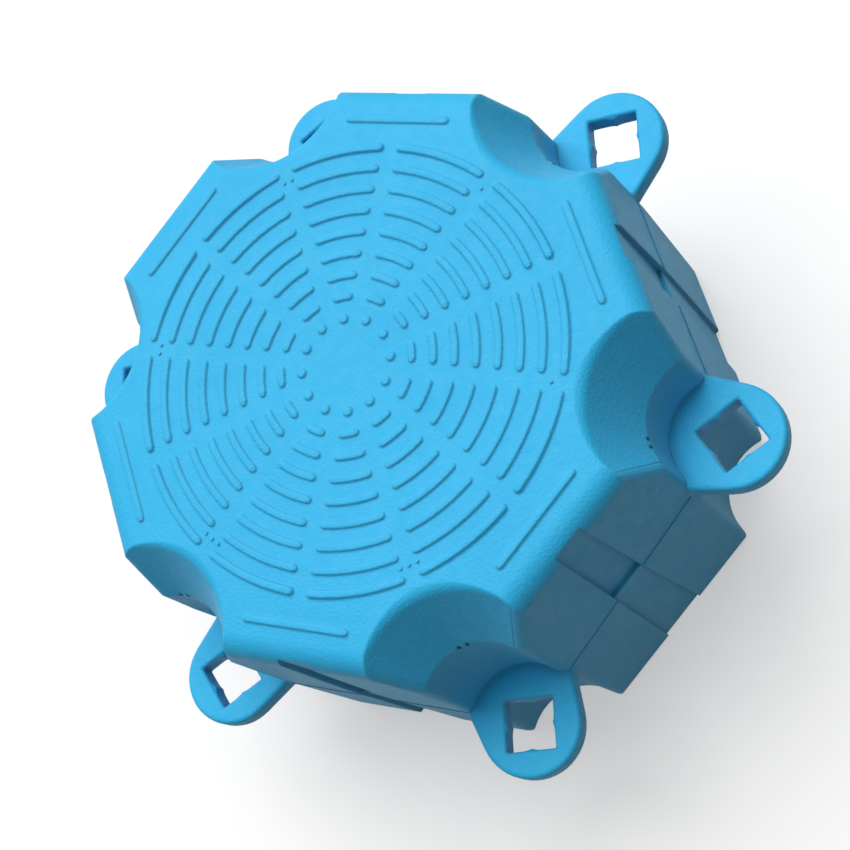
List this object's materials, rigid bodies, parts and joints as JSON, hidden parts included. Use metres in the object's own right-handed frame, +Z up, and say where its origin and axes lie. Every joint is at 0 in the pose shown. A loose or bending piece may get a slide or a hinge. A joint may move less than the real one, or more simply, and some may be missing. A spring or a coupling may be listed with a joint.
{
  "type": "floating dock cube",
  "caption": "Sealed hexagonal dock float: ribbed non-slip deck, scooped corners and stepped pin lugs that lock it to the floats around it.",
  "frame": {"origin": "middle of the underside, below the middle of the deck", "axes": "+Z up out of the deck, +X square out of the side between the two high lugs, +Y towards a corner"},
  "size_m": [0.724, 0.8188, 0.4024],
  "materials": {
    "float_shell": "satin sky-blue blow-moulded polyethylene with a fine mould grain"
  },
  "bodies": {
    "root": {"float_body": "float_shell"}
  },
  "joints": []
}
